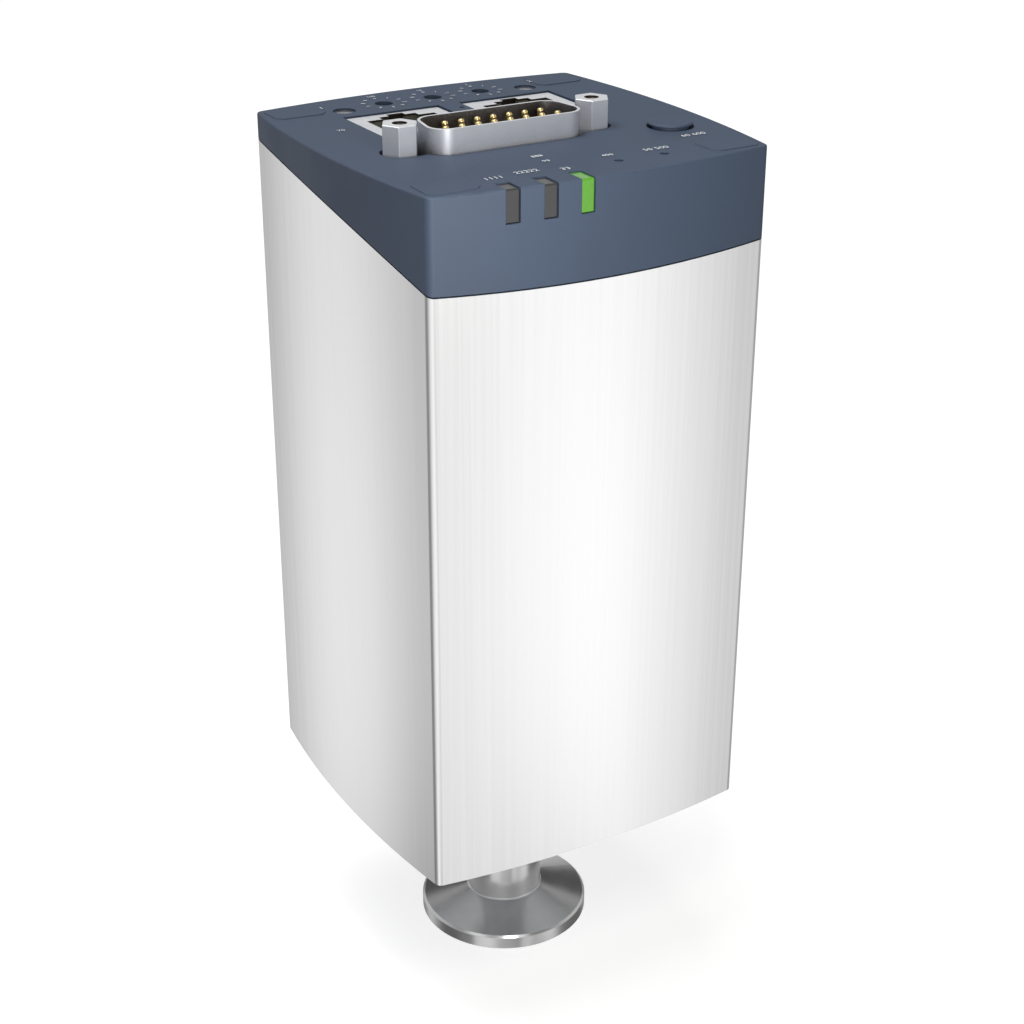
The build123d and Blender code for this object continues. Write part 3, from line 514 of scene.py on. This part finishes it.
def stage_mesh(name, corners, material):
    """Adds one flat staging panel through its corners."""
    work = bmesh.new()
    work.faces.new([work.verts.new(c) for c in corners])
    mesh = bpy.data.meshes.new(name)
    work.to_mesh(mesh)
    work.free()
    mesh.materials.append(material)
    panel = bpy.data.objects.new(name, mesh)
    bpy.context.scene.collection.objects.link(panel)


class StageShader:
    """Node material or world for staging, with short calls for the maths that shapes its light."""

    def __init__(self, owner, output):
        owner.use_nodes = True
        self.tree = owner.node_tree
        for node in [n for n in self.tree.nodes if n.type not in ("OUTPUT_MATERIAL", "OUTPUT_WORLD")]:
            self.tree.nodes.remove(node)
        self.output = self.tree.nodes[output]

    def node(self, kind, **settings):
        made = self.tree.nodes.new(kind)
        for key, value in settings.items():
            setattr(made, key, value)
        return made

    def link(self, source, target):
        self.tree.links.new(source, target)

    def maths(self, operation, *values):
        made = self.node("ShaderNodeMath", operation=operation)
        for socket, value in zip(made.inputs, values):
            if isinstance(value, (int, float)):
                socket.default_value = value
            else:
                self.link(value, socket)
        return made.outputs[0]

    def ramp(self, value, start, end, low, high):
        """Maps value from start to end onto low to high, smoothly."""
        made = self.node("ShaderNodeMapRange", interpolation_type="SMOOTHSTEP")
        for socket, number in zip(("From Min", "From Max", "To Min", "To Max"), (start, end, low, high)):
            made.inputs[socket].default_value = number
        self.link(value, made.inputs["Value"])
        return made.outputs["Result"]

    def blend(self, share, one, other):
        """Gives one where share is 0 and other where it is 1."""
        part = self.maths("MULTIPLY", self.maths("SUBTRACT", 1.0, share), one)
        return self.maths("ADD", part, self.maths("MULTIPLY", share, other))

    def split(self, vector):
        """The x, y and z of a vector."""
        made = self.node("ShaderNodeSeparateXYZ")
        self.link(vector, made.inputs[0])
        return made.outputs

    def round_about(self, vector, panels):
        """Brightness of panels in the heading of a vector from the object."""
        x, y, _ = self.split(vector)
        turn = self.maths("ADD", self.maths("DIVIDE", self.maths("ARCTAN2", y, x), math.tau), 0.5)
        curve = self.node("ShaderNodeFloatCurve")
        points = curve.mapping.curves[0].points
        places = [((degrees + 180) / 360, bright / panel_peak) for degrees, bright in panels]
        points[0].location = places[0]
        points[-1].location = places[-1]
        for place in places[1:-1]:
            points.new(*place)
        for point in points:
            point.handle_type = "AUTO_CLAMPED"
        curve.mapping.update()
        self.link(turn, curve.inputs["Value"])
        return self.maths("MULTIPLY", curve.outputs["Value"], panel_peak)


def floor_material():
    """Pale floor: white to the camera, with the object's shadow. Shiny surfaces see the studio instead."""
    material = bpy.data.materials.new("floor")
    s = StageShader(material, "Material Output")
    matte = s.node("ShaderNodeBsdfDiffuse")
    matte.inputs["Color"].default_value = floor_colour
    path = s.node("ShaderNodeLightPath")
    where = s.node("ShaderNodeTexCoord")
    away = s.node("ShaderNodeVectorMath", operation="LENGTH")
    s.link(where.outputs["Object"], away.inputs[0])
    distance = away.outputs["Value"]
    # Painted shade: less lift near the object keeps the floor darker around it
    lift_with_painted_shade = s.ramp(distance, floor_lift_start, floor_lift_end, floor_lift_near_painted_shade, floor_lift_far)
    to_camera = s.maths("MULTIPLY", path.outputs["Is Camera Ray"], lift_with_painted_shade)
    lift = s.node("ShaderNodeEmission")
    s.link(to_camera, lift.inputs["Strength"])
    plain = s.node("ShaderNodeAddShader")
    s.link(matte.outputs[0], plain.inputs[0])
    s.link(lift.outputs[0], plain.inputs[1])
    unseen = s.node("ShaderNodeBsdfTransparent")
    both = s.node("ShaderNodeMixShader")
    s.link(path.outputs["Is Glossy Ray"], both.inputs[0])
    s.link(plain.outputs[0], both.inputs[1])
    s.link(unseen.outputs[0], both.inputs[2])
    s.link(both.outputs[0], s.output.inputs["Surface"])
    return material


def make_floor():
    signs = ((-1, -1), (1, -1), (1, 1), (-1, 1))
    corners = [(floor_reach * x, floor_reach * y, 0) for x, y in signs]
    stage_mesh("floor", corners, floor_material())


def walls_below(s, around, height):
    """Brightness below the horizon: panels all round, with a light underneath on the far side."""
    steep = s.ramp(height, *steep_fade, 1.0, 0.0)
    deep = s.ramp(height, *deep_fade, 1.0, 0.0)
    steepest = s.ramp(height, *steepest_fade, 1.0, 0.0)
    under = s.maths("MULTIPLY", deep, s.blend(steepest, 1.0, s.round_about(around, under_span)))
    low_share = s.maths("MULTIPLY", steep, s.maths("SUBTRACT", 1.0, deep))
    all_round = s.blend(low_share, s.round_about(around, panels), s.round_about(around, low_panels))
    walls = s.maths("MULTIPLY", all_round, s.ramp(height, *low_wall_fade, low_wall, 1.0))
    walls = s.maths("MULTIPLY", walls, s.ramp(height, *rim_fade, rim_wall, 1.0))
    foot = s.ramp(height, *wall_foot_fade, wall_foot, 1.0)
    shade = s.maths("MULTIPLY", foot, s.ramp(height, *wall_head_fade, 1.0, wall_head))
    return s.maths("MULTIPLY", s.blend(under, walls, under_light), shade)


def sky_above(s, around, height):
    """Brightness above the horizon: a pale sky with a dark card in it, and a bright box high in front."""
    card_foot = s.ramp(height, *card_foot_fade, 0.0, card_depth)
    at_card = s.maths("MULTIPLY", card_foot, s.ramp(height, *card_head_fade, 1.0, 0.0))
    open_sky = s.maths("SUBTRACT", 1.0, s.maths("MULTIPLY", at_card, s.round_about(around, card_span)))
    sky_light = s.maths("MULTIPLY", s.ramp(height, *sky_fade, sky_rim, sky_top), open_sky)
    box_foot = s.ramp(height, *box_foot_fade, 0.0, box_light)
    at_box = s.maths("MULTIPLY", box_foot, s.ramp(height, *box_head_fade, 1.0, 0.0))
    return s.maths("ADD", sky_light, s.maths("MULTIPLY", at_box, s.round_about(around, box_span)))


def make_world():
    """White to the camera, the studio to shiny surfaces, and a soft grey light for the rest."""
    world = bpy.data.worlds.new("studio")
    bpy.context.scene.world = world
    s = StageShader(world, "World Output")
    path = s.node("ShaderNodeLightPath")
    whiteness = s.maths("MULTIPLY", path.outputs["Is Camera Ray"], world_white - world_fill)
    strength = s.maths("ADD", world_fill, whiteness)
    around = s.node("ShaderNodeTexCoord").outputs["Generated"]
    height = s.split(around)[2]
    in_sky = s.ramp(height, *horizon_fade, 0.0, 1.0)
    studio = s.blend(in_sky, walls_below(s, around, height), sky_above(s, around, height))
    seen = s.maths("SUBTRACT", studio, world_fill)
    shine = s.maths("MULTIPLY", path.outputs["Is Glossy Ray"], seen)
    sky = s.node("ShaderNodeBackground")
    s.link(s.maths("ADD", strength, shine), sky.inputs["Strength"])
    s.link(sky.outputs[0], s.output.inputs["Surface"])


def add_lamp(name, place, target, width, height, watts, colour=(1.0, 1.0, 1.0)):
    """A rectangular lamp at place, turned to target, which the camera doesn't see."""
    data = bpy.data.lights.new(name, "AREA")
    data.shape = "RECTANGLE"
    data.size = width
    data.size_y = height
    data.energy = watts
    data.color = colour
    lamp = bpy.data.objects.new(name, data)
    lamp.location = place
    lamp.rotation_euler = (Vector(target) - Vector(place)).to_track_quat("-Z", "Y").to_euler()
    lamp.visible_camera = False
    bpy.context.scene.collection.objects.link(lamp)


def make_lamps():
    """A small warm lamp before the cap, and a wide one high above."""
    add_lamp("key_near", place=(-0.035, -0.102, 0.155), target=(-0.01, 0.0, 0.13), width=0.03, height=0.06,
             watts=0.086, colour=(1.0, 0.97, 0.92))
    add_lamp("top_soft", place=(-0.15, 0.15, 0.95), target=(0.0, 0.0, 0.11), width=0.6, height=0.6,
             watts=5.7)


def make_camera():
    data = bpy.data.cameras.new("photo_view")
    data.sensor_width = sensor_width
    data.lens = focal_pixels / image_side * sensor_width
    data.shift_x = (image_side / 2 - centre_column) / image_side
    data.shift_y = (centre_row - image_side / 2) / image_side
    data.clip_start = 0.01
    camera = bpy.data.objects.new("photo_view", data)
    camera.location = camera_place
    camera.rotation_euler = (math.pi / 2 - camera_elevation, 0.0, camera_azimuth)
    bpy.context.scene.collection.objects.link(camera)
    bpy.context.scene.camera = camera


bpy.context.scene.view_settings.view_transform = "Standard"
materials = make_materials()
dress_frame(materials)
print_marks(materials["white_ink"])
cut_threads(materials["thread"])
make_floor()
make_world()
make_lamps()
make_camera()
